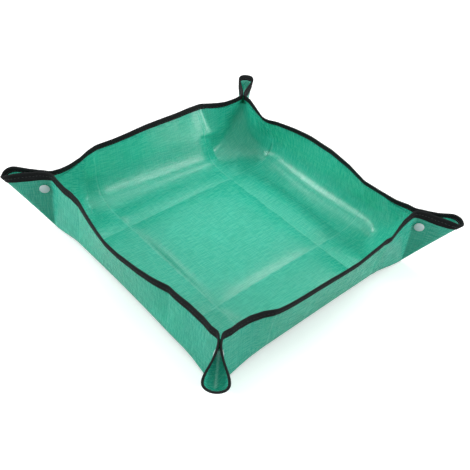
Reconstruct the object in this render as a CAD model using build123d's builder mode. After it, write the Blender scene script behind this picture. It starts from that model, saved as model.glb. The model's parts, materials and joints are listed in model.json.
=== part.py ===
from build123d import *
import os
from math import atan2, cos, degrees, radians, sin, sqrt, tan

# Folding potting tray: one square of coated woven sheet with a bound edge. Its four edges stand up as walls,
# and each corner is pinched into an ear that a press stud holds. Opened, the whole sheet lies flat.
# Millimetres, +Z up. The origin is the middle of the underside of the floor.

# Sheet and its bound edge
mat_side = 500.0
wall_height = 84.0
corner_radius = 40.0
sheet = 0.45
tape_width = 9.0
tape = 0.6
tape_fit = 0.05

# Old folds, from having been put away folded in nine: half their spacing, and how far they lie off the middle
fold_half = 91.0
fold_shift_x = 2.5
fold_shift_y = 13.0
pillow_rise = 2.4

# How far each rim bows out between its pinched ends
bow_right = 10.0
bow_back = 23.0
bow_left = 12.0
bow_front = 12.5

# Corner folds: lean of the corner crease in the wall, and half angle of the ear's flat bottom
pinch_angle = 2.6
bottom_angle = 8.0
crease_clearance = 0.06
seam_clearance = 0.1
layer_clearance = 0.1

# Press studs, one to each ear
snap_drop = 20.0
snap_offset = 9.0
cap_diameter = 13.0
cap_rim = 0.7
cap_crown = 0.9
post_diameter = 2.6
post_length = 1.0
post_fit = 0.1
flange_diameter = 10.6
flange = 1.5
ring_diameter = 7.4
ring_gap = 0.2
stud_diameter = 4.2
stud_neck = 3.5
stud_reach = 1.5
stud_head = 1.2
stud_clearance = 0.3

# Directions that the folds share, for the corner between the right wall and the back wall
pinch = radians(pinch_angle)
bottom = radians(bottom_angle)
base_half = mat_side / 2 - wall_height
half_sheet = sheet / 2
half_tape = half_sheet + tape
base_corner = Vector(base_half, base_half, half_sheet)
across = Vector(1, -1, 0).normalized()
mirror_plane = Plane(origin=base_corner, x_dir=(0, 0, 1), z_dir=across)

# The flap turns out from the corner crease, and flares until its far crease meets the ear's flat bottom
pinch_ray = Vector(0, -sin(pinch), cos(pinch))
flap_span = radians(45) - bottom + pinch
pinch_off = pinch_ray.dot(across)
side_ray = (across - pinch_ray * pinch_off).normalized()
flare = (sin(bottom) - cos(flap_span) * pinch_off) / (sin(flap_span) * sqrt(1 - pinch_off**2))
flap_ray = side_ray * flare + pinch_ray.cross(side_ray) * sqrt(1 - flare**2)
bottom_ray = pinch_ray * cos(flap_span) + flap_ray * sin(flap_span)
seam_ray = (bottom_ray - across * sin(bottom)) / cos(bottom)
flap_plane = Plane(origin=base_corner, x_dir=pinch_ray, z_dir=pinch_ray.cross(flap_ray))
bottom_plane = Plane(origin=base_corner, x_dir=bottom_ray, z_dir=bottom_ray.cross(seam_ray))
wall_plane = Plane(origin=(base_half, 0, half_sheet), x_dir=(0, 1, 0), z_dir=(1, 0, 0))

# How far each crease is folded, and where the two layers of an ear come too close to leave sheet between
wall_turn = radians(90)
flap_turn = radians(flap_plane.z_dir.get_angle(-wall_plane.z_dir))
bottom_turn = radians(bottom_plane.z_dir.get_angle(flap_plane.z_dir))
relief_radius = (sheet + layer_clearance) / (2 * pinch_off)


def setback(half_thickness, turn):
    """Distance from a crease at which a panel of this thickness can turn without touching its neighbour."""
    return half_thickness * tan(turn / 2) + crease_clearance


def fan(span, first_gap, last_gap):
    """Wedge between two creases that meet at the base corner, kept clear of each."""
    far = 2 * wall_height
    tip_x = (last_gap + first_gap * cos(span)) / sin(span)
    first = (tip_x + far, first_gap)
    last = (tip_x + far * cos(span), first_gap + far * sin(span))
    return [(tip_x, first_gap), first, last]


def edge_square(grow, turn, mode):
    """The sheet's outline about the base corner, grown past the cut edge and turned in its panel's plane."""
    side = 2 * (wall_height + grow)
    return RectangleRounded(side, side, corner_radius + grow, rotation=turn, mode=mode)


def fold_panel(plane, span, turn, first_gap, last_gap, hole_at=None):
    """One panel of an ear, from the relief at the base corner to the cut edge."""
    with BuildPart() as panel:
        with BuildSketch(plane):
            Polygon(*fan(span, first_gap, last_gap), align=None)
            edge_square(0, turn, Mode.INTERSECT)
            Circle(relief_radius, mode=Mode.SUBTRACT)
            if hole_at:
                with Locations(hole_at):
                    Circle(post_diameter / 2 + post_fit, mode=Mode.SUBTRACT)
        extrude(amount=half_sheet, both=True)
    return panel


def fold_binding(plane, span, turn, first_gap, last_gap):
    """Tape folded over the edge of one panel of an ear."""
    with BuildPart() as binding:
        with BuildSketch(plane):
            Polygon(*fan(span, first_gap, last_gap), align=None)
            edge_square(tape, turn, Mode.INTERSECT)
            edge_square(-tape_width, turn, Mode.SUBTRACT)
        extrude(amount=half_tape, both=True)
        with BuildSketch(plane):
            edge_square(tape_fit, turn, Mode.ADD)
        extrude(amount=half_sheet + tape_fit, both=True, mode=Mode.SUBTRACT)
    return binding


def wall_corners(low, high, gap):
    """Corners of a wall strip between two heights, kept clear of the corner creases."""
    low_half = base_half - low * tan(pinch) - gap / cos(pinch)
    high_half = base_half - high * tan(pinch) - gap / cos(pinch)
    return [(-low_half, low), (low_half, low), (high_half, high), (-high_half, high)]


def rim_stations(bow, middle, inner, outer):
    """Places along a wall, each with its rim's bow: full inside one distance of a middle, none past another."""
    rising = [(-base_half, 0), (middle - outer, 0), (middle - inner, bow)]
    falling = [(middle + inner, bow), (middle + outer, 0), (base_half, 0)]
    return rising + falling


def wall_strip(stations, low, high, half_thickness, gap):
    """Strip of a wall between two heights, which leans out at each station by its share of the rim's bow."""
    with BuildPart() as strip:
        for along, bow in stations:
            low_out = bow * low / wall_height
            high_out = bow * high / wall_height
            with BuildSketch(Plane(origin=(base_half, along, half_sheet), x_dir=(1, 0, 0), z_dir=(0, -1, 0))):
                Polygon(
                    (low_out - half_thickness, low),
                    (low_out + half_thickness, low),
                    (high_out + half_thickness, high),
                    (high_out - half_thickness, high),
                    align=None,
                )
        loft(ruled=True)
        with BuildSketch(wall_plane):
            Polygon(*wall_corners(low, high, gap), align=None)
        extrude(amount=wall_height, both=True, mode=Mode.INTERSECT)
    return strip


def floor_block(x_span, y_span, low_inset, high_inset):
    """Block over a panel of the floor, as high as a pillow. Its insets are shares of the panel."""
    spans = (x_span, y_span)
    middle = tuple((first + last) / 2 for first, last in spans)
    with BuildPart() as block:
        for height, inset in ((0, low_inset), (pillow_rise, high_inset)):
            sides = [(last - first) * (1 - 2 * inset) for first, last in spans]
            with BuildSketch(Plane.XY.offset(height)):
                with Locations(middle):
                    Rectangle(*sides)
        loft(ruled=True)
    return block


# Pillows between the old folds. The middle panel is wide enough to sag back onto the table
floor_gap = setback(half_sheet, wall_turn)
floor_half = base_half - floor_gap
x_lines = [-floor_half, fold_shift_x - fold_half, fold_shift_x + fold_half, floor_half]
y_lines = [-floor_half, fold_shift_y - fold_half, fold_shift_y + fold_half, floor_half]
pillow_inset = 0.3
crest_inset = 0.14
dip_inset = 0.17
sag_inset = 0.36
with BuildPart() as pillows:
    for x_span in zip(x_lines, x_lines[1:]):
        for y_span in zip(y_lines, y_lines[1:]):
            sags = x_span == (x_lines[1], x_lines[2]) and y_span == (y_lines[1], y_lines[2])
            add(floor_block(x_span, y_span, 0, crest_inset if sags else pillow_inset).part)
            if sags:
                add(floor_block(x_span, y_span, sag_inset, dip_inset).part, mode=Mode.SUBTRACT)

# Floor of the tray, a sheet of one thickness over the pillows
with BuildPart() as floor:
    with BuildSketch():
        Rectangle(2 * floor_half, 2 * floor_half)
    extrude(amount=sheet)
    with Locations((0, 0, sheet)):
        add(pillows.part)
    add(pillows.part, mode=Mode.SUBTRACT)

# Walls, each with the tape over its top edge. The back and front rims stand out from one old fold to the
# other, and the right and left rims arch between the folds
rim_half = base_half - wall_height * tan(pinch)
shoulder = (fold_half + rim_half) / 2
rims = {
    "right": rim_stations(bow_right, fold_shift_y, fold_half / 4, fold_half),
    "back": rim_stations(bow_back, -fold_shift_x, fold_half, shoulder),
    "left": rim_stations(bow_left, -fold_shift_y, fold_half / 4, fold_half),
    "front": rim_stations(bow_front, fold_shift_x, fold_half, shoulder),
}
wall_ends = setback(half_sheet, flap_turn)
tape_ends = setback(half_tape, flap_turn)
wall_sheets = {}
wall_bindings = {}
for wall, stations in rims.items():
    wall_sheets[wall] = wall_strip(stations, floor_gap, wall_height, half_sheet, wall_ends)
    tape_slot = wall_strip(stations, 0, wall_height + tape_fit, half_sheet + tape_fit, 0)
    with BuildPart() as wall_binding:
        add(wall_strip(stations, wall_height - tape_width, wall_height + tape, half_tape, tape_ends).part)
        add(tape_slot.part, mode=Mode.SUBTRACT)
    wall_bindings[wall] = wall_binding

# Press stud's place on the flap, below the cut edge and outboard of the corner crease
snap_along = (wall_height - snap_drop - snap_offset * sin(pinch)) / cos(pinch)
snap_at = (snap_along, snap_offset)
snap_point = flap_plane.from_local_coords((snap_along, snap_offset, 0))
snap_spread = (snap_point - base_corner).dot(across)
snap_centre = snap_point - across * snap_spread

# Flap of an ear with the hole for the press stud, the half of the ear's flat bottom, and their tape
flap_first = setback(half_sheet, flap_turn)
flap_last = setback(half_sheet, bottom_turn)
flap = fold_panel(flap_plane, flap_span, pinch_angle, flap_first, flap_last, snap_at)
flap_binding = fold_binding(
    flap_plane, flap_span, pinch_angle, setback(half_tape, flap_turn), setback(half_tape, bottom_turn)
)
bottom_square = bottom_angle - 45
ear_bottom = fold_panel(bottom_plane, bottom, bottom_square, flap_last, seam_clearance)
bottom_binding = fold_binding(
    bottom_plane, bottom, bottom_square, setback(half_tape, bottom_turn), seam_clearance
)

# Cap of a press stud: a crowned button on the outer face, with a post through the sheet
cap_radius = cap_diameter / 2
post_radius = post_diameter / 2
cap_plane = Plane(origin=snap_point, x_dir=pinch_ray, z_dir=pinch_ray.cross(-flap_plane.z_dir))
cap_top = half_sheet + cap_rim
with BuildPart() as cap:
    with BuildSketch(cap_plane):
        with BuildLine():
            Polyline(
                (0, cap_top + cap_crown),
                (0, -half_sheet - post_length),
                (post_radius, -half_sheet - post_length),
                (post_radius, half_sheet),
                (cap_radius, half_sheet),
                (cap_radius, cap_top),
            )
            TangentArc((0, cap_top + cap_crown), (cap_radius, cap_top), tangent=(1, 0))
        make_face()
    revolve(axis=Axis(snap_point, -flap_plane.z_dir))

# Socket and stud stand square to the mirror plane of the ear. Their flanges are cut to the slope of the flap
inner_face = flap_plane.offset(half_sheet)
seat = snap_spread - half_sheet / cos(radians(flap_plane.z_dir.get_angle(-across)))
snap_plane = Plane(origin=snap_centre, x_dir=seam_ray, z_dir=seam_ray.cross(across))
flange_face = seat - flange
flange_radius = flange_diameter / 2
behind_flap = 2 * snap_spread
bore_radius = stud_diameter / 2 + stud_clearance
bore_depth = stud_reach + stud_clearance

with BuildPart() as socket:
    with BuildSketch(snap_plane):
        with BuildLine():
            Polyline(
                (0, bore_depth),
                (bore_radius, bore_depth),
                (bore_radius, ring_gap),
                (ring_diameter / 2, ring_gap),
                (ring_diameter / 2, flange_face),
                (flange_radius, flange_face),
                (flange_radius, behind_flap),
                (0, behind_flap),
                close=True,
            )
        make_face()
    revolve(axis=Axis(snap_centre, across))
    split(bisect_by=inner_face, keep=Keep.TOP)
    with BuildSketch(inner_face):
        with Locations(snap_at):
            Circle(post_radius + post_fit)
    extrude(amount=post_length + post_fit, mode=Mode.SUBTRACT)

with BuildPart() as stud:
    with BuildSketch(snap_plane):
        with BuildLine():
            Polyline(
                (0, -stud_reach),
                (stud_neck / 2, -stud_reach),
                (stud_diameter / 2, -stud_reach + stud_head / 2),
                (stud_neck / 2, -stud_reach + stud_head),
                (stud_neck / 2, flange_face),
                (flange_radius, flange_face),
                (flange_radius, behind_flap),
                (0, behind_flap),
                close=True,
            )
        make_face()
    revolve(axis=Axis(snap_centre, across))
    split(bisect_by=inner_face, keep=Keep.TOP)
    with BuildSketch(inner_face):
        with Locations(snap_at):
            Circle(post_radius + post_fit)
    extrude(amount=post_length + post_fit, mode=Mode.SUBTRACT)

os.makedirs("parts", exist_ok=True)


def write(solid, name, quarter_turns=0, mirrored=False):
    """Place one piece at its corner or wall, and write it under its name."""
    with BuildPart() as placed:
        if mirrored:
            mirror(solid.part, about=mirror_plane)
        else:
            add(solid.part)
    with BuildPart() as piece:
        add(placed.part, rotation=(0, 0, 90 * quarter_turns))
    piece.part.label = name
    export_step(piece.part, f"parts/{name}.step")


write(floor, "mat_floor")
walls = list(rims)
corners = ["back_right", "back_left", "front_left", "front_right"]
for quarter, (first_wall, corner) in enumerate(zip(walls, corners)):
    second_wall = walls[(quarter + 1) % 4]
    write(wall_sheets[first_wall], f"mat_wall_{first_wall}", quarter)
    write(wall_bindings[first_wall], f"binding_wall_{first_wall}", quarter)
    for side_wall, mirrored in ((first_wall, False), (second_wall, True)):
        write(flap, f"{corner}_flap_{side_wall}", quarter, mirrored)
        write(ear_bottom, f"{corner}_ear_bottom_{side_wall}", quarter, mirrored)
        write(flap_binding, f"binding_{corner}_flap_{side_wall}", quarter, mirrored)
        write(bottom_binding, f"binding_{corner}_ear_bottom_{side_wall}", quarter, mirrored)
    write(cap, f"{corner}_socket_cap", quarter)
    write(socket, f"{corner}_socket", quarter)
    write(cap, f"{corner}_stud_cap", quarter, True)
    write(stud, f"{corner}_stud", quarter, True)

print("corner crease turn", round(degrees(flap_turn), 3), "ear bottom turn", round(degrees(bottom_turn), 3))
print("seam rises", round(degrees(atan2(seam_ray.Z, sqrt(seam_ray.X**2 + seam_ray.Y**2))), 3))
print("press stud gap", round(2 * seat, 3), "relief radius", round(relief_radius, 3))
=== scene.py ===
import json
from math import acos, atan2, cos, exp, pi, radians, sin, sqrt, tan

import bmesh
import bpy
from mathutils import Matrix, Vector, noise


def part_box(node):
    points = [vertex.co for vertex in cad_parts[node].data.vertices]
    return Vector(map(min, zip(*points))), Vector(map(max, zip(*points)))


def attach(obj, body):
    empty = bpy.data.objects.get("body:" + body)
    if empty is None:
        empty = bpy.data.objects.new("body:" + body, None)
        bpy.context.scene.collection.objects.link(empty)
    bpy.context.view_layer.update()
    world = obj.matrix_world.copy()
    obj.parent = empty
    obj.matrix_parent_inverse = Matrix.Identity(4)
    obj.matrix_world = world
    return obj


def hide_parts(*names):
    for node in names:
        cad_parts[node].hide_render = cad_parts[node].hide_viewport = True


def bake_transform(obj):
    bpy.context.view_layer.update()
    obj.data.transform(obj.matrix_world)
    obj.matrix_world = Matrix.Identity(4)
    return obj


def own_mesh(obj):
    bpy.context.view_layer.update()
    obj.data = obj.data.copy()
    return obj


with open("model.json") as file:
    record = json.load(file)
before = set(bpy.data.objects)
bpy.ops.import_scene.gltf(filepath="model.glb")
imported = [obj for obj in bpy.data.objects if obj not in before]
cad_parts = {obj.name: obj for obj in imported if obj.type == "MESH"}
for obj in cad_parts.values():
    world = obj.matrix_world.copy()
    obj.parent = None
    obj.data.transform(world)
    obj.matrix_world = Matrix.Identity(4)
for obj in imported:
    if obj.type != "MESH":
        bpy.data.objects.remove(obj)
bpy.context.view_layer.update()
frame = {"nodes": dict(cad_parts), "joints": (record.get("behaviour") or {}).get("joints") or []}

mm = 0.001

# The viewpoint is about a metre from the tray, over its near corner, looking down
# at a little under half a right angle, with the frame tilted.
camera_place = Vector((-496.7, -489.5, 647.5)) * mm
camera_aim = Vector((16.5, 6.0, 0)) * mm
camera_tilt = radians(6.48)
lens = 54.05
view_turn = (camera_aim - camera_place).to_track_quat("-Z", "Y").to_matrix().to_4x4()
camera = bpy.data.objects.new("photo_camera", bpy.data.cameras.new("photo_camera"))
camera.data.lens = lens
camera.data.sensor_width = 36
camera.matrix_world = Matrix.Translation(camera_place) @ view_turn @ Matrix.Rotation(camera_tilt, 4, "Z")
bpy.context.scene.collection.objects.link(camera)
bpy.context.scene.camera = camera

# The mat's floor is the middle of one square of woven plastic tape, laminated on both
# faces. It lies on the table, and keeps the creases of having been folded in nine.
joints = {joint["name"]: joint for joint in frame["joints"]}
base_corner = Vector(joints["fold_back_right_flap_right"]["pos_m"])
base_half = base_corner.x
sheet_middle = base_corner.z
sheet = 2 * sheet_middle
wall_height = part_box("mat_wall_right")[1].z - sheet_middle
near_bend = 18 * mm
floor_half = base_half - near_bend
crease_left, crease_right = -89 * mm, 94 * mm
crease_front, crease_back = -78 * mm, 104 * mm
pillow_height = 5.5 * mm
warp_pitch = 3.0 * mm
weft_pitch = 1.7 * mm


def linear(red, green, blue):
    """The colour of a print swatch, 0 to 255, as the light that it sends back."""
    shares = [value / 255 for value in (red, green, blue)]
    return [v / 12.92 if v < 0.04045 else ((v + 0.055) / 1.055) ** 2.4 for v in shares] + [1]


class Shade:
    """An output of a finish's nodes. Sums on it add Math nodes, and node() adds any other node."""

    def __init__(self, tree, socket=None):
        self.tree = tree
        self.socket = socket

    def node(self, kind, settings=None, inputs=None, output=0):
        made = self.tree.nodes.new(kind)
        for name, value in (settings or {}).items():
            setattr(made, name, value)
        for name, value in (inputs or {}).items():
            if isinstance(value, Shade):
                self.tree.links.new(value.socket, made.inputs[name])
            else:
                made.inputs[name].default_value = value
        return Shade(self.tree, made.outputs[output])

    def math(self, operation, *others, clamp=False):
        terms = dict(enumerate((self,) + others))
        return self.node("ShaderNodeMath", {"operation": operation, "use_clamp": clamp}, terms)

    def __add__(self, other):
        return self.math("ADD", other)

    def __sub__(self, other):
        return self.math("SUBTRACT", other)

    def __rsub__(self, other):
        return self.node("ShaderNodeMath", {"operation": "SUBTRACT"}, {0: other, 1: self})

    def __mul__(self, other):
        return self.math("MULTIPLY", other)

    def __truediv__(self, other):
        return self.math("DIVIDE", other)

    __radd__ = __add__
    __rmul__ = __mul__

    def size(self):
        return self.math("ABSOLUTE")

    def limit(self):
        return self.math("ADD", 0.0, clamp=True)

    def tint(self, other, share):
        """This colour with a share of another one over it."""
        settings = {"data_type": "RGBA"}
        return self.node("ShaderNodeMix", settings, {0: share, 6: self, 7: other}, 2)

    def feed(self, shader, name):
        """Joins this output to an input of a shader."""
        self.tree.links.new(self.socket, shader.inputs[name])


def finish(name):
    """A new material's nodes, with its shader and its output joined."""
    material = bpy.data.materials.new(name)
    material.use_nodes = True
    return material, Shade(material.node_tree), material.node_tree.nodes["Principled BSDF"]


def laminated_weave():
    """Green plastic tape woven over and under, sealed under a clear film that dulls where it creases. The
    weave's light and shade are partly painted into its colour.
    """
    material, net, surface = finish("laminated_weave")
    flat = net.node("ShaderNodeUVMap", {"uv_map": "flat_mat"})
    across = net.node("ShaderNodeSeparateXYZ", inputs={0: flat}, output=0)
    along = net.node("ShaderNodeSeparateXYZ", inputs={0: flat}, output=1)
    warp = (across * (pi / warp_pitch)).math("SINE")
    weft = (along * (pi / weft_pitch)).math("SINE")
    pillow = (warp * weft).size().math("POWER", 0.4)
    over = (warp * weft).math("SIGN") * 0.5 + 0.5

    def patches(stretch_across, stretch_along, detail):
        stretch = net.node("ShaderNodeVectorMath", {"operation": "MULTIPLY"},
                           {0: flat, 1: (stretch_across, stretch_along, 0)})
        settings = {"noise_dimensions": "2D"}
        return net.node("ShaderNodeTexNoise", settings, {"Vector": stretch, "Scale": 1.0, "Detail": detail})

    clouds = patches(14, 14, 3.0)
    crinkle = patches(90, 90, 4.0)
    warp_tapes = patches(2.0 / warp_pitch, 40, 2.0)
    weft_tapes = patches(60, 1.4 / weft_pitch, 2.0)
    tapes = (warp_tapes * 0.6 + weft_tapes * 1.4 - 1) * 1.6
    fold_width = 1.5 * mm
    fold = None
    for place, line in ((across, crease_left), (across, crease_right),
                        (along, crease_front), (along, crease_back)):
        away = (place - line + (crinkle - 0.5) * (3 * mm)).size()
        mark = (1 - away / fold_width).limit()
        fold = mark if fold is None else fold + mark
    wear = (fold * (crinkle * 2 - 0.6)).limit()
    green = net.node("ShaderNodeMix", {"data_type": "RGBA"},
                     {0: clouds, 6: linear(33, 166, 138), 7: linear(47, 180, 153)}, 2)
    # Painted shade and light of the weave: darker in its hollows between crossings, lighter on the tapes
    # that lie over, and streaked tape by tape, partly the tapes' own tone and partly painted in place of
    # the weave's relief.
    green = green.tint(linear(22, 138, 112), ((1 - pillow) * 0.45 - tapes * 0.3).limit())
    green = green.tint(linear(100, 202, 178), (over * 0.12 + tapes * 0.32).limit())
    green = green.tint(linear(150, 222, 205), wear * 0.35)
    green.feed(surface, "Base Color")
    rough = 0.22 + crinkle * 0.08 + tapes.limit() * 0.3 + wear * 0.15
    rough.feed(surface, "Roughness")
    height = pillow * 0.05 + over * 0.02 + tapes * 0.07 + crinkle * 0.12 - fold * 0.2
    bump = net.node("ShaderNodeBump", inputs={"Strength": 1.0, "Distance": 1 * mm, "Height": height})
    bump.feed(surface, "Normal")
    surface.inputs["Coat Weight"].default_value = 0.15
    surface.inputs["Coat Roughness"].default_value = 0.2
    surface.inputs["Specular IOR Level"].default_value = 0.38
    surface.inputs["Subsurface Weight"].default_value = 0.25
    surface.inputs["Subsurface Radius"].default_value = (0.2, 1.0, 0.8)
    surface.inputs["Subsurface Scale"].default_value = 2 * mm
    return material


mat_finish = laminated_weave()


def placed(name, shape):
    """A built shape as an object of the scene."""
    mesh = bpy.data.meshes.new(name)
    shape.to_mesh(mesh)
    shape.free()
    piece = bpy.data.objects.new(name, mesh)
    bpy.context.scene.collection.objects.link(piece)
    return piece


def sheet_piece(name, columns, rows, lay):
    """A grid of the mat: lay() turns two shares, 0 to 1, into a place at rest and one on the flat mat."""
    grid = bmesh.new()
    bmesh.ops.create_grid(grid, x_segments=columns, y_segments=rows, size=0.5)
    flat_map = grid.loops.layers.uv.new("flat_mat")
    flat = {}
    for vert in grid.verts:
        vert.co, flat[vert] = lay(vert.co.x + 0.5, vert.co.y + 0.5)
    for face in grid.faces:
        face.smooth = True
        for loop in face.loops:
            loop[flat_map].uv = flat[loop.vert].xy
    bmesh.ops.remove_doubles(grid, verts=grid.verts, dist=0.001 * mm)
    for edge in grid.edges:
        edge.smooth = not edge.is_boundary
    return placed(name, grid)


def laminate(piece):
    """Gives a piece of the mat its sheet's thickness and finish."""
    thickness = piece.modifiers.new("sheet", "SOLIDIFY")
    thickness.thickness = sheet
    thickness.offset = 0
    piece.data.materials.append(mat_finish)
    return piece


def ease(share):
    share = min(max(share, 0), 1)
    return share * share * (3 - 2 * share)


def floor_rise(x, y):
    """How far the floor stands up: pillows between the old folds. The middle one sags back."""
    valleys = ((x - crease_left, 26, 7), (x - crease_right, 18, 16),
               (y - crease_front, 20, 20), (y - crease_back, 22, 16))
    height = pillow_height
    for away, before, after in valleys:
        width = (before if away < 0 else after) * mm
        height *= 1 - exp(-abs(away) / width)
    if crease_left < x < crease_right and crease_front < y < crease_back:
        dip = sin(pi * (x - crease_left) / (crease_right - crease_left))
        dip *= sin(pi * (y - crease_front) / (crease_back - crease_front))
        height *= 1 - 0.6 * dip ** 2
    wave = 1 + 0.35 * noise.noise(Vector((x, y, 0)) * 15)
    edge = min(floor_half - x, floor_half - y, base_half + x, base_half + y) / (36 * mm)
    return height * wave * ease(edge)


def lay_floor(across, along):
    x = floor_half * (2 * across - 1)
    y = floor_half * (2 * along - 1)
    return Vector((x, y, sheet_middle + floor_rise(x, y))), Vector((x, y, 0))


floor_piece = laminate(sheet_piece("floor_sheet", 110, 110, lay_floor))
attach(floor_piece, "floor")
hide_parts("mat_floor")

# The four walls are the same sheet, stood up. They aren't scored, so they turn up off the floor on
# a soft radius, bulge at the foot, and bow out along the rim, with kinks on the old folds.
walls = ("right", "back", "left", "front")
corners = ("back_right", "back_left", "front_left", "front_right")
pinch_ray = Vector(joints["fold_back_right_flap_right"]["axis"])
pinch = -atan2(pinch_ray.y, pinch_ray.z)
wall_end = -pinch - radians(9)
hem_reach = 50 * mm
bend_radius = {"right": 40 * mm, "back": 40 * mm, "left": near_bend, "front": near_bend}
wall_start = {"right": -hem_reach, "back": -hem_reach, "left": near_bend, "front": near_bend}
crease_width = 11 * mm
crease_dent = {"right": 2 * mm, "back": 0.8 * mm, "left": 3.2 * mm, "front": 3.2 * mm}
foot_bulge = {"right": (11 * mm, 0), "back": (8 * mm, 0.075), "left": (0, 0), "front": (0, 0)}
wall_columns = 132
rim_bows = {
    "right": ((-150, 0), (-134, -2.5), (-108, -3), (-82, -4), (-65, -1), (-46, 4), (-29, 7), (-8, 10.5),
              (34, 8.7), (62, 3.6), (88, -3), (100, -8), (112, -10), (130, -5.5), (150, 0)),
    "back": ((-150, 0), (-134, 3), (-115, 8), (-97, 16.5), (-84, 21), (-57, 20.7), (0, 24),
             (56, 23), (80, 25), (102, 24.5), (112, 14.5), (122, 8), (134, 3.5), (150, 0)),
    "left": ((-150, 0), (-134, -4), (-111, -5), (-89, -3), (-76, -2), (-55, 4.5), (-32, 9.2),
             (0, 12.6), (26, 12.6), (47, 9.7), (70, 5.7), (95, 0.5), (121, -3), (150, 0)),
    "front": ((-150, 0), (-136, -3), (-122, -2), (-105, 3), (-90, 11), (-60, 11.5), (0, 13.4),
              (40, 14), (73, 11.5), (90, 10.5), (104, 10.5), (126, 3), (138, 0), (150, 0)),
}
wall_creases = ((crease_front, crease_back), (-crease_left, -crease_right),
                (-crease_front, -crease_back), (crease_left, crease_right))


def turned(quarter, place):
    """A place of the right wall, or of the back right corner, a number of quarter turns on."""
    return Matrix.Rotation(quarter * pi / 2, 3, "Z") @ place


def rim_bow(wall, along):
    """How far a wall's rim bows out, a distance along from its middle. Its kinks are on the old folds."""
    side = -1 if wall in ("back", "left") else 1
    total = 0
    for shift, share in ((-3, 1), (-1.5, 2), (0, 3), (1.5, 2), (3, 1)):
        at = side * along / mm + shift
        for (near, low), (far, high) in zip(rim_bows[wall], rim_bows[wall][1:]):
            if near <= at < far:
                total += share / 9 * (low + (high - low) * (at - near) / (far - near))
    return total * mm


def pinch_draw(past, height):
    """How the press stud draws the rim up and together, at a distance past the pinch and up it."""
    near = ease(1 + past / (34 * mm)) if past < 0 else ease(1 - past / (34 * mm))
    climb = ease((height - 20 * mm) / (wall_height - 20 * mm))
    return (Vector((-1, 1, 0)).normalized() * 1.4 * mm + Vector((0, 0, 4.5 * mm))) * near * climb


def wall_lean(wall, height, along):
    """How far out of its fold a wall stands at a height, and how far its foot bulges."""
    middle, tilt = foot_bulge[wall]
    foot = (middle + tilt * along) * ease((base_half - 12 * mm - abs(along)) / (50 * mm))
    climb = max(0, height - bend_radius[wall]) / (wall_height - bend_radius[wall])
    lean = foot + (rim_bow(wall, along) - foot) * climb
    quarter = walls.index(wall)
    ends = ease((base_half - height * tan(-wall_end) - abs(along)) / (25 * mm))
    lean += noise.noise(Vector((along * 14, height * 10, quarter * 7.3))) * 2.2 * mm * ends * climb
    for line in wall_creases[quarter]:
        depth = crease_dent[wall] * ease(climb * 2) * (1 - 0.6 * climb)
        lean -= exp(-abs(along - line) / crease_width) * depth
    return lean, foot


def wall_place(wall, across, along, hem=0.8 * mm):
    """Where a point stands, a flat distance across from a wall's fold and along from its middle."""
    quarter = walls.index(wall)
    flat = turned(quarter, Vector((base_half + across, along, 0)))
    full = bend_radius[wall]
    radius = full * ease((base_half - abs(along)) / (1.2 * full + 38 * mm))
    lean, foot = wall_lean(wall, across, along)
    out, up = min(across, 0) + lean, max(across, 0)
    if across < -radius:
        out = across + foot * ease((across + hem_reach) / (hem_reach - radius))
    elif across < radius:
        share = (across + radius) / (2 * radius)
        rest = 1 - share
        slope = (rim_bow(wall, along) - foot) / (wall_height - full) * ease(radius / full * 3 - 2)
        out = foot - radius * (rest ** 3 + 1.14 * rest ** 2 * share + 1.86 * slope * rest * share ** 2)
        up = radius * (share ** 3 + 1.14 * rest * share ** 2)
    else:
        up -= (lean - foot) ** 2 / (2 * max(up, full))
    draw = pinch_draw(abs(along) - (base_half - across * tan(pinch)), across)
    sideways = along + draw.y * (1 if along > 0 else -1)
    place = turned(quarter, Vector((base_half + out + draw.x, sideways, sheet_middle + up + draw.z)))
    if across < 0:
        place.z += floor_rise(place.x, place.y)
        if wall_start[wall] < 0:
            tuck = 1.6 * ease((across + hem_reach) / (24 * mm)) - 0.6
            place.z += hem * tuck * ease(-across / (25 * mm))
    return place, flat


def strip_place(across, share):
    """The distance along from a wall's middle, on a strip that ends at the mitres or at the pinches."""
    half = base_half + (across * tan(wall_end) if across > 0 else across)
    return half * (2 * share - 1)


def press_flat(piece, wall):
    """A piece of a wall rides on it."""
    quarter = walls.index(wall)
    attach(piece, f"wall_{wall}")
    normal = turned(quarter, Vector((1, 0, 0)))
    normal * base_half
    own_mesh(piece)


def lay_strip(wall, first, last):
    """How a strip of a wall is laid, between two flat distances out from its fold."""

    def lay(along, across):
        out = first + (last - first) * across
        return wall_place(wall, out, strip_place(out, along))

    return lay


for wall in walls:
    lay = lay_strip(wall, wall_start[wall], wall_height)
    piece = laminate(sheet_piece(f"wall_sheet_{wall}", wall_columns, 56, lay))
    press_flat(piece, wall)
    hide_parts(f"mat_wall_{wall}")

# Outside the foot of the right and the back wall is the floor's own margin. It goes up round the
# bulge with the wall, and rides on the floor.
for quarter, wall in ((0, "right"), (1, "back")):

    def lay_margin(along, across):
        full = bend_radius[wall]
        out = -hem_reach + (hem_reach + full) * across
        half = base_half + (out * tan(wall_end) if out > 0 else max(out, -near_bend))
        place, flat = wall_place(wall, out, half * (2 * along - 1), 0)
        turn = pi / 2 * ease((out + full) / (2 * full))
        under = turned(quarter, Vector((sin(turn), 0, -cos(turn))))
        return place + under * 0.7 * mm * ease((out + full) / (0.6 * full)), flat

    piece = laminate(sheet_piece(f"floor_margin_{wall}", wall_columns, 40, lay_margin))
    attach(piece, "floor")
    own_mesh(piece)

# The left and the front wall turn up more tightly, without a bulge. Their bends are strips of
# the same sheet, between the floor and the wall.
for quarter, wall in ((2, "left"), (3, "front")):
    lay = lay_strip(wall, -near_bend, near_bend)
    piece = laminate(sheet_piece(f"base_bend_{wall}", wall_columns, 18, lay))
    start = turned(quarter, Vector((base_half - near_bend + 4 * mm, 0, sheet_middle)))
    end = turned(quarter, Vector((base_half, 0, sheet_middle + near_bend)))
    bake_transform(piece)

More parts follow.
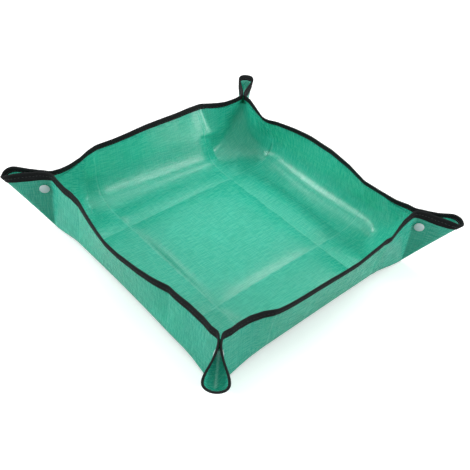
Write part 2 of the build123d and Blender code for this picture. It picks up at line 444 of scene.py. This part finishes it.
# At each corner the spare square of sheet folds out into an ear. Its two flaps turn off
# the walls at the pinch and face each other, and the press stud draws them together.
bottom_ray = -Vector(joints["fold_back_right_ear_bottom_right"]["axis"])
flap_span = acos(pinch_ray.dot(bottom_ray))
bottom = pi / 4 + pinch - flap_span
flap_end = pi / 4 - bottom - radians(12)
corner_radius = 40 * mm
ear_belly = dict(zip(corners, (-1 * mm, -2.5 * mm, 2.4 * mm, -2.5 * mm)))
ear_droop = dict(zip(corners, (-4 * mm, 6.5 * mm, 5 * mm, 6.5 * mm)))
ear_swing = dict(zip(corners, (1.6 * mm, 0, 0, 0)))
ear_dome = dict(zip(corners, (0, 7 * mm, 0, 2 * mm)))


def mirrored(place):
    """The same place on the other half of the back right corner."""
    return Vector((place.y, place.x, place.z))


def sharp_direction(angle):
    """Which way a ray of the corner's spare square points, were every fold of it a sharp one."""
    if angle > pi / 4:
        return mirrored(sharp_direction(pi / 2 - angle))
    if angle < -pinch:
        return Vector((0, sin(angle), cos(angle)))
    if angle < pi / 4 - bottom:
        turn = angle + pinch
        return (pinch_ray * sin(flap_span - turn) + bottom_ray * sin(turn)) / sin(flap_span)
    turn = pi / 4 - angle
    seam_ray = ((bottom_ray + mirrored(bottom_ray)) / 2).normalized()
    across = (bottom_ray - mirrored(bottom_ray)).normalized()
    return seam_ray * cos(turn) + across * sin(turn)


def soft_direction(angle):
    """The ray's direction with the folds rounded, tight at the pinch and full at the ear's end."""
    reach = radians(5.5 + 9.5 * ease((angle + pinch) / flap_span))
    total = Vector()
    steps = 7
    for step in range(-steps, steps + 1):
        share = step / (steps + 1)
        total += sharp_direction(angle + share * reach) * cos(share * pi / 2) ** 2
    return total.normalized()


def rim_point(angle):
    """The cut edge of the spare square on a ray, and the way in from it, both on the flat mat."""
    ray = Vector((cos(angle), sin(angle), 0))
    centre = Vector((wall_height - corner_radius, wall_height - corner_radius, 0))
    straight = ray * (wall_height / cos(angle))
    if straight.y <= centre.y:
        return straight, Vector((-1, 0, 0))
    along = centre.dot(ray)
    edge = ray * (along + sqrt(along ** 2 - centre.length_squared + corner_radius ** 2))
    return edge, (centre - edge).normalized()


def corner_place(quarter, second, flat):
    """Where a point of a corner's spare square stands. Flat is its place out from the base corner."""
    angle = atan2(flat.y, flat.x)
    rise = (flat.length / (100 * mm)) ** 2
    belly = ease((angle - radians(8)) / radians(20)) * ease((pi / 4 - angle) / radians(12))
    place = base_corner + soft_direction(angle) * flat.length
    place += Vector((1, -1, 0)).normalized() * ear_belly[corners[quarter]] * belly * rise
    past = flat.length * sin(max(-pi / 2, angle + pinch))
    up_pinch = flat.length * cos(angle + pinch)
    place += pinch_draw(past, up_pinch)
    lips = ease((angle + pinch) / radians(13)) * ease((radians(34) - angle) / radians(18))
    place -= Vector((1, -1, 0)).normalized() * 3.2 * mm * lips * ease((up_pinch - 69 * mm) / (13 * mm))
    place.z -= ear_droop[corners[quarter]] * ease(angle / (pi / 4)) * rise
    place.z += ear_dome[corners[quarter]] * sin(4 * max(0, angle)) * rise
    out = (place - base_corner).dot(Vector((1, 1, 0)).normalized())
    aside = ear_swing[corners[quarter]] * ease(out / (90 * mm)) * (-2 if second else 2)
    place += Vector((1, -1, 0)).normalized() * aside
    flat_place = Vector((base_half, base_half, 0)) + flat
    if second:
        place, flat_place = mirrored(place), mirrored(flat_place)
    return turned(quarter, place), turned(quarter, flat_place)


def lay_fan(quarter, second, first_angle, last_angle):
    """How a fan of the spare square is laid, between two of its rays."""

    def lay(turn, reach):
        edge, _ = rim_point(first_angle + (last_angle - first_angle) * turn)
        return corner_place(quarter, second, edge * reach)

    return lay


def fold_line(quarter, second, ray, before, after, zone):
    """The points where a fold begins and ends: its crease, and the ways to the sheet on either side."""
    across = ((after - ray * after.dot(ray)).normalized() - (before - ray * before.dot(ray)).normalized())
    middle = base_corner + ray * (50 * mm)
    ends = [middle + across.normalized() * side * zone for side in (-1, 1)]
    if second:
        ends = [mirrored(end) for end in ends]
    return [turned(quarter, end) for end in ends]


def pinch_fold(quarter, second):
    """Where the fold from a wall to its flap begins and ends."""
    before, after = sharp_direction(wall_end), sharp_direction(0.4)
    return fold_line(quarter, second, pinch_ray, before, after, 6 * mm)


def corner_halves():
    """Every half of every corner: its quarter turns, its corner, its wall, and whether it is the second."""
    for quarter, corner in enumerate(corners):
        for second in (False, True):
            yield quarter, corner, walls[(quarter + second) % 4], second


for quarter, corner, wall, second in corner_halves():
    name = f"{corner}_flap_{wall}"
    lay = lay_fan(quarter, second, wall_end, flap_end)
    piece = laminate(sheet_piece(f"{corner}_flap_sheet_{wall}", 44, 40, lay))
    start, end = pinch_fold(quarter, second)
    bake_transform(piece)
    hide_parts(name)

# Between the flaps the ear's bottom is a narrow gusset in two halves, which meet on the
# diagonal of the spare square. The sheet runs round them in a full bend, like a spout.
flap_ray, seam_ray = soft_direction(flap_end), soft_direction(pi / 4)
spout_ray = (flap_ray + seam_ray).normalized()


def spout_fold(quarter, second):
    """Where the bend from a flap to its half of the ear's bottom begins and ends."""
    return fold_line(quarter, second, spout_ray, flap_ray, seam_ray, 2.5 * mm)


for quarter, corner, wall, second in corner_halves():
    name = f"{corner}_ear_bottom_{wall}"
    lay = lay_fan(quarter, second, flap_end, pi / 4)
    piece = laminate(sheet_piece(f"{corner}_ear_sheet_{wall}", 34, 40, lay))
    start, end = spout_fold(quarter, second)
    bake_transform(piece)
    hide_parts(name)

# Inside each corner the sheet isn't folded sharp down to the floor. It spreads from the press
# stud in a scooped facet, between two soft creases, and rides on the floor.
scoop_reach = 60 * mm
scoop_top = 76 * mm
facet_leg = 48 * mm


def soft_least(one, other, width):
    """The lesser of two distances, rounded off where they are nearly the same."""
    return min(one, other) - max(0, 1 - abs(one - other) / width) ** 2 * width / 4


def scoop_gaps(quarter, place, hem):
    """A point's share between the two walls of a corner, and how far it is from the scooped sheet."""
    height = place.z - sheet_middle
    gaps, bends = [], []
    for wall, along, across in ((walls[quarter], place.y, place.x),
                                (walls[(quarter + 1) % 4], -place.x, place.y)):
        full = bend_radius[wall]
        gaps.append(base_half + wall_lean(wall, height, along)[0] - across)
        bends.append(1.07 * full * ease(scoop_reach / (1.2 * full + 38 * mm)))
    share = max(0, gaps[0]) / max(max(0, gaps[0]) + max(0, gaps[1]), 0.1 * mm)
    leg = facet_leg * (1 - height / scoop_top) + 3 * mm
    facet = (gaps[0] + gaps[1] - leg) / sqrt(2)
    sides = soft_least(soft_least(gaps[0], gaps[1], 6 * mm), facet, 5 * mm)
    ground = turned(quarter, place)
    above = height - floor_rise(ground.x, ground.y)
    lift = (0.7 + max(0, height) / scoop_top) * mm * (1 - hem) - 0.1 * mm
    return share, soft_least(sides, above, bends[0] + (bends[1] - bends[0]) * share) - lift


for quarter, corner in enumerate(corners):
    eye = Vector((base_half - scoop_reach, base_half - scoop_reach, sheet_middle + scoop_top))

    def lay_scoop(turn, climb):
        ray = Vector((cos(turn * pi / 2) * sin(climb * pi / 2), sin(turn * pi / 2) * sin(climb * pi / 2),
                      -cos(climb * pi / 2)))
        near, far = 0, 2.2 * scoop_reach
        hem = 1 - ease(5 * min(turn, 1 - turn, climb))
        for _ in range(13):
            middle = (near + far) / 2
            if scoop_gaps(quarter, eye + ray * middle, hem)[1] > 0:
                near = middle
            else:
                far = middle
        place = eye + ray * near
        share = scoop_gaps(quarter, place, hem)[0]
        flat = Vector((place.x + 0.8 * place.z * (1 - share), place.y + 0.8 * place.z * share, 0))
        return turned(quarter, place), turned(quarter, flat)

    piece = laminate(sheet_piece(f"{corner}_scoop", 26, 30, lay_scoop))
    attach(piece, "floor")
    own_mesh(piece)

# In each ear loose sheet hangs between the flaps below the rim, so that its mouth is a shallow
# spout. It hides the press stud from above, and rides on the ear's bottom.
spout_inset = 7 * mm
spout_width = 40 * mm
spout_sag = 13 * mm
spout_start = radians(7)
for quarter, corner, wall, second in corner_halves():
    if second:
        continue
    diagonal = turned(quarter, Vector((1, 1, 0)).normalized())
    sideways = turned(quarter, Vector((1, -1, 0)).normalized())
    corner_point = turned(quarter, base_corner)

    def lay_spout(across, out):
        angle = spout_start + (pi / 4 - spout_start) * out
        edge, inward = rim_point(angle)
        first = corner_place(quarter, False, edge + inward * spout_inset)[0]
        last = corner_place(quarter, True, edge + inward * spout_inset)[0]
        sag = spout_sag * ease(out / 0.55) * ease((0.9 - out) / 0.35)
        place = first.lerp(last, across)
        place.z -= sag * (1 - (2 * across - 1) ** 2)
        away = place - corner_point
        outward = diagonal * (spout_width + 1.6 * away.dot(diagonal))
        flat = corner_point + outward + sideways * away.dot(sideways)
        return place, flat

    piece = laminate(sheet_piece(f"{corner}_spout", 24, 40, lay_spout))
    seam = (bottom_ray + mirrored(bottom_ray)).normalized()
    bottom_normal = turned(quarter, pinch_ray - seam * pinch_ray.dot(seam)).normalized()
    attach(piece, f"{corner}_ear_bottom_{wall}")
    above_bottom = corner_point + bottom_normal * mm
    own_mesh(piece)

# A black woven tape is folded over the mat's edge all round, and sewn through with one
# line of lockstitch in black thread. It stiffens the rims and rounds the ears' mouths.
tape_thickness = 0.5 * mm
tape_step = 2.2 * mm
sewing_line = 5.2 * mm
stitch_pitch = 4.2 * mm
stitch_length = 3.1 * mm
thread = 0.32 * mm
inner_edge = ((7.0, 0.5), (6.6, 0.85), (5.9, 0.9))
outer_edge = ((11.0, 0.5), (10.4, 0.85), (7.6, 0.95))
tape_back = ((5.2, 0.75), (4.2, 0.95), (2.6, 1.15), (1.1, 1.2), (-0.2, 0.9))
inner_side = tuple((inset, -height) for inset, height in reversed(inner_edge + tape_back))
tape_fold = outer_edge + tape_back + ((-0.9, 0),) + inner_side


def woven_tape():
    """Matt black polyester, ribbed across by its weft, a little dusty on the fold."""
    material, net, surface = finish("woven_tape")
    flat = net.node("ShaderNodeUVMap", {"uv_map": "flat_tape"})
    along = net.node("ShaderNodeSeparateXYZ", inputs={0: flat}, output=0)
    across = net.node("ShaderNodeSeparateXYZ", inputs={0: flat}, output=1)
    rib = (along * (2 * pi / (0.9 * mm))).math("SINE") * 0.5 + 0.5
    twill = ((along + across) * (2 * pi / (1.3 * mm))).math("SINE") * 0.5 + 0.5
    fuzz = net.node("ShaderNodeTexNoise", {"noise_dimensions": "2D"},
                    {"Vector": flat, "Scale": 700.0, "Detail": 3.0})
    dust = net.node("ShaderNodeTexNoise", {"noise_dimensions": "2D"},
                    {"Vector": flat, "Scale": 60.0, "Detail": 3.0})
    black = net.node("ShaderNodeMix", {"data_type": "RGBA"},
                     {0: rib, 6: linear(3, 4, 5), 7: linear(11, 14, 15)}, 2)
    black = black.tint(linear(30, 37, 37), (dust * fuzz * 0.5).limit())
    black.feed(surface, "Base Color")
    (0.62 + fuzz * 0.2).feed(surface, "Roughness")
    height = rib * 0.5 + twill * 0.3 + fuzz * 0.3
    bump = net.node("ShaderNodeBump", inputs={"Strength": 0.7, "Distance": 0.3 * mm, "Height": height})
    bump.feed(surface, "Normal")
    surface.inputs["Specular IOR Level"].default_value = 0.16
    return material


def sewing_thread():
    """Black bonded thread: twisted, with painted highlights in fine slants where the twist would catch the
    light.
    """
    material, net, surface = finish("sewing_thread")
    place = net.node("ShaderNodeTexCoord", output=3)
    twist = net.node("ShaderNodeTexWave", {"bands_direction": "DIAGONAL"},
                     {"Vector": place, "Scale": 900.0, "Distortion": 1.5})
    # Painted highlights: the lighter bands along the twist stand for the light that it catches.
    black = net.node("ShaderNodeMix", {"data_type": "RGBA"},
                     {0: twist, 6: linear(14, 17, 18), 7: linear(44, 50, 50)}, 2)
    black.feed(surface, "Base Color")
    (0.4 + twist * 0.2).feed(surface, "Roughness")
    return material


tape_finish = woven_tape()
thread_finish = sewing_thread()


def edge_frame(on_sheet, rim, share, inset):
    """A point near the mat's edge: its place, the way along the edge, and the way off the sheet."""
    step = 0.4 * mm
    edge, inward, along = rim(share)
    middle = on_sheet(edge + inward * inset)
    run = on_sheet(edge + inward * inset + along * step) - on_sheet(edge + inward * inset - along * step)
    fall = on_sheet(edge + inward * (inset + step)) - on_sheet(edge + inward * (inset - step))
    return middle, run.normalized(), run.cross(fall).normalized()


def bound_edge(name, steps, on_sheet, rim, side):
    """A stretch of the binding tape, folded over the edge. Side says which way the inner face looks."""
    tape = bmesh.new()
    bmesh.ops.create_grid(tape, x_segments=steps, y_segments=len(tape_fold) - 1, size=0.5)
    flat_map = tape.loops.layers.uv.new("flat_tape")
    flat = {}
    for vert in tape.verts:
        share = vert.co.x + 0.5
        row = round((vert.co.y + 0.5) * (len(tape_fold) - 1))
        inset, height = (value * mm for value in tape_fold[row])
        middle, _, normal = edge_frame(on_sheet, rim, share, inset)
        vert.co = middle + normal * side * height
        flat[vert] = Vector((share * steps * tape_step, (row - len(tape_fold) // 2) * 1.2 * mm))
    for face in tape.faces:
        face.smooth = True
        for loop in face.loops:
            loop[flat_map].uv = flat[loop.vert]
    middle, _, normal = edge_frame(on_sheet, rim, 0.5, 3 * mm)
    tape.normal_update()
    outward = sum(face.normal.dot(face.calc_center_median() - middle) for face in tape.faces
                  if (face.calc_center_median() - middle).length < 6 * mm)
    if outward < 0:
        bmesh.ops.reverse_faces(tape, faces=tape.faces)
    for edge in tape.edges:
        edge.smooth = not edge.is_boundary
    piece = placed(name, tape)
    thickness = piece.modifiers.new("tape", "SOLIDIFY")
    thickness.thickness = tape_thickness
    thickness.offset = -1
    piece.data.materials.append(tape_finish)
    return piece


def sewn_line(name, length, on_sheet, rim):
    """The stitches that hold a stretch of the tape, on both faces."""
    seam = bmesh.new()
    count = max(1, round(length / stitch_pitch))
    for stitch in range(count):
        middle, run, normal = edge_frame(on_sheet, rim, (stitch + 0.5) / count, sewing_line)
        turn = Matrix((run, normal.cross(run), normal)).transposed().to_4x4()
        shape = Matrix.Diagonal((stitch_length / 2, thread, thread, 1))
        for face in (-1, 1):
            place = Matrix.Translation(middle + normal * face * (0.8 * mm + thread / 2))
            bmesh.ops.create_icosphere(seam, subdivisions=1, radius=1, matrix=place @ turn @ shape)
    for face in seam.faces:
        face.smooth = True
    bmesh.ops.recalc_face_normals(seam, faces=seam.faces)
    piece = placed(name, seam)
    piece.data.materials.append(thread_finish)
    return piece


for wall in walls:
    wall_rim = strip_place(wall_height, 1)

    def on_wall(flat):
        return wall_place(wall, flat.x, flat.y)[0]

    def along_wall(share):
        along = wall_rim * (2 * share - 1)
        return Vector((wall_height, along, 0)), Vector((-1, 0, 0)), Vector((0, 1, 0))

    tape = bound_edge(f"tape_{wall}_wall", 140, on_wall, along_wall, -1)
    stitches = sewn_line(f"stitches_{wall}_wall", 2 * wall_rim, on_wall, along_wall)
    press_flat(tape, wall)
    press_flat(stitches, wall)
    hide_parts(f"binding_wall_{wall}")

for quarter, corner, wall, second in corner_halves():
    flap, ear_bottom = f"{corner}_flap_{wall}", f"{corner}_ear_bottom_{wall}"
    stretches = ((flap, f"wall_{wall}", wall_end, flap_end, pinch_fold(quarter, second)),
                 (ear_bottom, flap, flap_end, pi / 4, spout_fold(quarter, second)))
    for name, carrier, first_angle, last_angle, (start, end) in stretches:

        def on_corner(flat):
            return corner_place(quarter, second, flat)[0]

        def round_corner(share):
            edge, inward = rim_point(first_angle + (last_angle - first_angle) * share)
            return edge, inward, Vector((inward.y, -inward.x, 0))

        length = (rim_point(last_angle)[0] - rim_point(first_angle)[0]).length
        side = 1 if second else -1
        steps = max(16, round(length / tape_step))
        tape = bound_edge(f"tape_{name}", steps, on_corner, round_corner, side)
        stitches = sewn_line(f"stitches_{name}", length, on_corner, round_corner)
        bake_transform(tape)
        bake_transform(stitches)
        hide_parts(f"binding_{name}")

# A press stud on each ear holds its flaps together: two caps outside, each with a post
# through the sheet, a socket and a stud inside. All are moulded in off-white plastic.


def moulded_plastic():
    """Off-white plastic, satin from the mould, with a faint cool cast and fine flow marks."""
    material, net, surface = finish("moulded_plastic")
    place = net.node("ShaderNodeTexCoord", output=3)
    flow = net.node("ShaderNodeTexNoise", inputs={"Vector": place, "Scale": 160.0, "Detail": 3.0})
    grain = net.node("ShaderNodeTexNoise", inputs={"Vector": place, "Scale": 2600.0, "Detail": 2.0})
    white = net.node("ShaderNodeMix", {"data_type": "RGBA"},
                     {0: flow, 6: linear(196, 214, 214), 7: linear(222, 231, 229)}, 2)
    white.feed(surface, "Base Color")
    (0.3 + flow * 0.15).feed(surface, "Roughness")
    bump = net.node("ShaderNodeBump", inputs={"Strength": 0.25, "Distance": 0.1 * mm, "Height": grain})
    bump.feed(surface, "Normal")
    surface.inputs["Subsurface Weight"].default_value = 0.1
    return material


stud_finish = moulded_plastic()
for corner in corners:
    for part in ("socket_cap", "socket", "stud_cap", "stud"):
        frame["nodes"][f"{corner}_{part}"].data.materials.clear()
        frame["nodes"][f"{corner}_{part}"].data.materials.append(stud_finish)

# The setting is a plain white table and backdrop. Soft boxes left, right and above give the bends
# their sheen, and two strips behind rake the floor's pillows. The tray's shadow is faint because the
# table glows for the camera: painted light over the shadow, stronger further from the tray.
# The table is a little below the floor.
table_half = 3.0
table_drop = 1.2 * mm
table_mesh = bmesh.new()
bmesh.ops.create_grid(table_mesh, x_segments=1, y_segments=1, size=table_half)
table = placed("table", table_mesh)
table.data.transform(Matrix.Translation((0, 0, -table_drop)))

table_finish, net, surface = finish("white_table")
surface.inputs["Roughness"].default_value = 0.9
surface.inputs["Specular IOR Level"].default_value = 0.1
on_table = net.node("ShaderNodeTexCoord", output=3)
mottle = net.node("ShaderNodeTexNoise", inputs={"Vector": on_table, "Scale": 3.0})
far = (net.node("ShaderNodeVectorMath", {"operation": "LENGTH"}, {0: on_table}, 1) - 0.7).limit()
white = net.node("ShaderNodeMix", {"data_type": "RGBA"},
                 {0: mottle, 6: linear(248, 248, 248), 7: linear(252, 252, 252)}, 2)
seen = net.node("ShaderNodeLightPath", output="Is Camera Ray")
table_tone = net.node("ShaderNodeMix", {"data_type": "RGBA"},
                      {0: seen, 6: linear(188, 188, 188), 7: white}, 2)
table_tone.feed(surface, "Base Color")
# Painted light: the table glows for the camera only, a little near the tray to fade its shadow and more
# further out to whiten it.
(seen * (far * 0.8 + 0.24)).feed(surface, "Emission Color")
surface.inputs["Emission Strength"].default_value = 1
table.data.materials.append(table_finish)

for name, place, width, length, power in (("left_box", (-1.08, 0.76, 0.66), 0.52, 0.52, 15),
                                          ("right_box", (0.57, -1.14, 0.65), 0.5, 0.5, 10),
                                          ("top_box", (-0.1, -0.1, 1.6), 1.6, 1.6, 9),
                                          ("right_strip", (0.86, 0.0, 1.3), 0.3, 0.6, 6),
                                          ("back_strip", (0.0, 0.86, 1.3), 0.6, 0.3, 3)):
    lamp = bpy.data.lights.new(name, "AREA")
    lamp.shape = "RECTANGLE"
    lamp.energy = power
    lamp.size = width
    lamp.size_y = length
    light = bpy.data.objects.new(name, lamp)
    aim = -Vector(place).normalized()
    side = Vector((0, 1, 0)).cross(-aim).normalized()
    turn = Matrix((side, (-aim).cross(side), -aim)).transposed().to_4x4()
    light.matrix_world = Matrix.Translation(place) @ turn
    bpy.context.scene.collection.objects.link(light)

world = bpy.data.worlds.new("studio")
bpy.context.scene.world = world
world.use_nodes = True
net = Shade(world.node_tree)
background = world.node_tree.nodes["Background"]
background.inputs["Color"].default_value = (1, 1, 1, 1)
seen = net.node("ShaderNodeLightPath", output="Is Camera Ray")
mirror = net.node("ShaderNodeLightPath", output="Is Glossy Ray")
through = net.node("ShaderNodeLightPath", output="Is Transmission Ray")
shown = seen.math("MAXIMUM", mirror).math("MAXIMUM", through)
(0.32 + shown * 0.68).feed(background, "Strength")

bpy.context.scene.view_settings.view_transform = "Standard"
